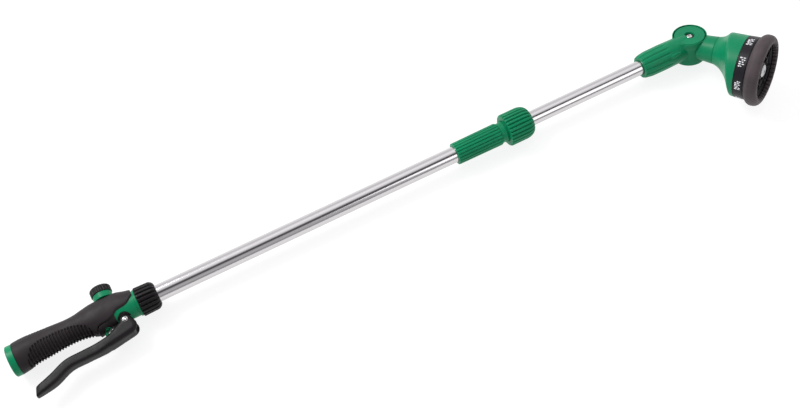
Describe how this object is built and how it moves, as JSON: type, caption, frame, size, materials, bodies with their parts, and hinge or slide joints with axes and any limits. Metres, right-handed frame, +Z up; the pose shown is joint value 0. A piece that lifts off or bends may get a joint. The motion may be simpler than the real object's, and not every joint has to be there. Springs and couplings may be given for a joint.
{
  "type": "watering wand",
  "caption": "Telescopic garden watering wand with a front lever handle, flow knob, twist-lock aluminium tubes and a tilting multi-pattern spray head.",
  "frame": {"origin": "centre of the hose inlet's end face, on the tube axis", "axes": "+X along the tubes from the hose end to the head, +Y to the thumb side with the flow knob (the lever is on -Y), +Z up from the surface that the wand lies on"},
  "size_m": [0.9235, 0.1468, 0.0938],
  "materials": {
    "green_plastic": "moulded, semi-gloss",
    "soft_grip": "soft-touch overmould, satin",
    "black_plastic": "moulded, satin",
    "bezel_rubber": "soft, matt",
    "tube_aluminium": "drawn and bright, slightly brushed along",
    "screw_chrome": "bright plated",
    "inner_plastic": "natural acetal",
    "inner_steel": "stainless",
    "seal_rubber": "nitrile rubber",
    "seat_brass": "machined"
  },
  "bodies": {
    "handle": {"handle_body": "green_plastic", "grip_cover": "soft_grip", "hose_washer": "seal_rubber", "inlet_screen": "inner_steel", "valve_seat": "seat_brass", "valve_spring": "inner_steel", "chest_plug": "inner_plastic", "stem_gland": "green_plastic", "gland_o_ring": "seal_rubber", "lever_pivot_screw": "screw_chrome", "lever_pivot_nut": "screw_chrome", "tube_ferrule": "inner_plastic", "tube_o_ring": "seal_rubber", "lower_tube": "tube_aluminium", "tube_sleeve": "green_plastic", "collet_ring": "inner_plastic"},
    "lever": {"lever": "black_plastic"},
    "valve_stem": {"valve_stem": "green_plastic", "poppet_seal": "seal_rubber"},
    "flow_knob": {"knob_spindle": "inner_plastic", "spindle_o_ring": "seal_rubber", "knob_collar": "green_plastic", "knob_cap": "black_plastic", "knob_screw": "inner_steel"},
    "tube_nut": {"tube_nut": "black_plastic"},
    "lock_collar": {"lock_collar": "green_plastic"},
    "slide": {"piston_bush": "inner_plastic", "piston_o_ring": "seal_rubber"},
    "upper_tube": {"upper_tube": "tube_aluminium", "head_socket": "green_plastic", "socket_o_ring": "seal_rubber", "pivot_cap": "green_plastic", "pivot_screw": "screw_chrome"},
    "head": {"head_neck": "green_plastic", "hub_o_rings": "seal_rubber", "head_bell": "green_plastic", "valve_plate": "inner_plastic", "dial_gasket": "seal_rubber", "detent_spring": "inner_steel", "detent_ball": "inner_steel", "dial_screw": "inner_steel"},
    "dial": {"dial_band": "black_plastic", "bezel": "bezel_rubber", "spray_plate": "black_plastic", "spray_hub": "screw_chrome"}
  },
  "joints": [
    {"name": "lever_pull", "type": "hinge", "parent": "handle", "child": "lever", "pos_m": [0.124, -0.015, 0], "axis": [0, 0, -1], "range_deg": [0, 10], "stiffness_Nm_per_rad": 1.2, "springref_deg": -20.05},
    {"name": "stem_slide", "type": "slide", "parent": "handle", "child": "valve_stem", "axis": [0, 1, 0], "range_m": [0, 0.0045], "deforming": ["valve_spring"]},
    {"name": "knob_turn", "type": "hinge", "parent": "handle", "child": "flow_knob", "pos_m": [0.1115, 0, 0], "axis": [0, 1, 0], "range_deg": [0, 90]},
    {"name": "nut_turn", "type": "hinge", "parent": "handle", "child": "tube_nut", "pos_m": [0.155, 0, 0], "axis": [-1, 0, 0], "range_deg": [0, 360]},
    {"name": "collar_turn", "type": "hinge", "parent": "handle", "child": "lock_collar", "pos_m": [0.613, 0, 0], "axis": [-1, 0, 0], "range_deg": [0, 90]},
    {"name": "tube_slide", "type": "slide", "parent": "handle", "child": "slide", "axis": [1, 0, 0], "range_m": [-0.146, 0.15]},
    {"name": "tube_spin", "type": "hinge", "parent": "slide", "child": "upper_tube", "pos_m": [0.7, 0, 0], "axis": [1, 0, 0], "continuous": true},
    {"name": "head_tilt", "type": "hinge", "parent": "upper_tube", "child": "head", "pos_m": [0.852, 0, 0], "axis": [0, 0.342, 0.9397], "range_deg": [-27, 58]},
    {"name": "dial_turn", "type": "hinge", "parent": "head", "child": "dial", "pos_m": [0.83716, -0.00871, 0.00317], "axis": [0.5299, -0.7969, 0.29], "continuous": true}
  ],
  "couplings": [
    {"joint": "stem_slide", "follows": "lever_pull", "m_per_rad": 0.0225}
  ]
}
